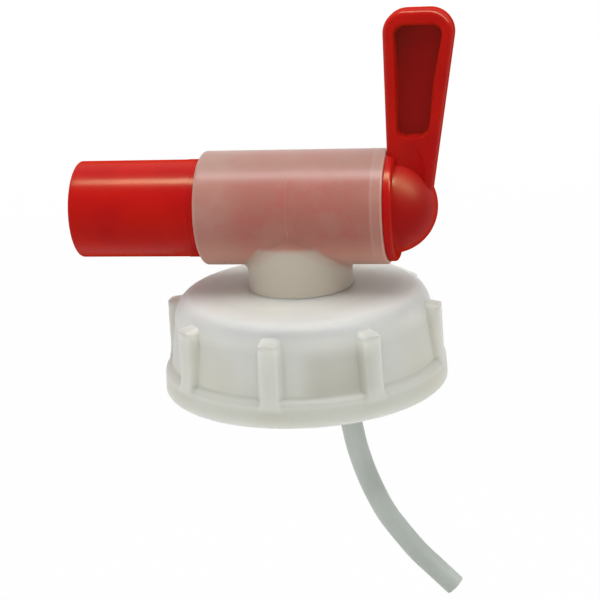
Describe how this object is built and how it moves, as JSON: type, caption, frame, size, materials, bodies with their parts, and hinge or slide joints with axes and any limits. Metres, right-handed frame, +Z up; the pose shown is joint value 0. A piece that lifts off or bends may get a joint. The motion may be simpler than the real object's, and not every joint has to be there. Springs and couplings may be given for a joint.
{
  "type": "jerrycan tap",
  "caption": "Screw cap for a jerrycan that carries a swivelling dispensing tap: a level barrel with a quarter-turn spout and lever, and a vent tube hanging from the cap.",
  "frame": {"origin": "on the cap's axis, in the plane of the gasket's underside, where the rim of the can's neck seals", "axes": "+Z up along the cap and the neck; +X along the barrel towards the lever, so the spout points to -X; the picture looks from -Y"},
  "size_m": [0.0934, 0.07, 0.1484],
  "materials": {
    "cap": "satin natural polyethylene, slightly translucent",
    "gasket": "matt foam",
    "body": "satin natural polyethylene, translucent",
    "seal": "smooth black rubber",
    "stem": "glossy red polypropylene",
    "tube": "smooth milky polyethylene, translucent"
  },
  "bodies": {
    "cap": {"screw_cap": "cap", "cap_gasket": "gasket"},
    "tap_body": {"tap_body": "body", "neck_seal": "seal", "vent_tube": "tube"},
    "stem": {"stem": "stem"}
  },
  "joints": [
    {"name": "swivel", "type": "hinge", "parent": "cap", "child": "tap_body", "pos_m": [0, 0, 0], "axis": [0, 0, 1], "continuous": true},
    {"name": "lever_turn", "type": "hinge", "parent": "tap_body", "child": "stem", "pos_m": [0, 0, 0.0247], "axis": [-1, 0, 0], "range_deg": [0, 90]}
  ]
}
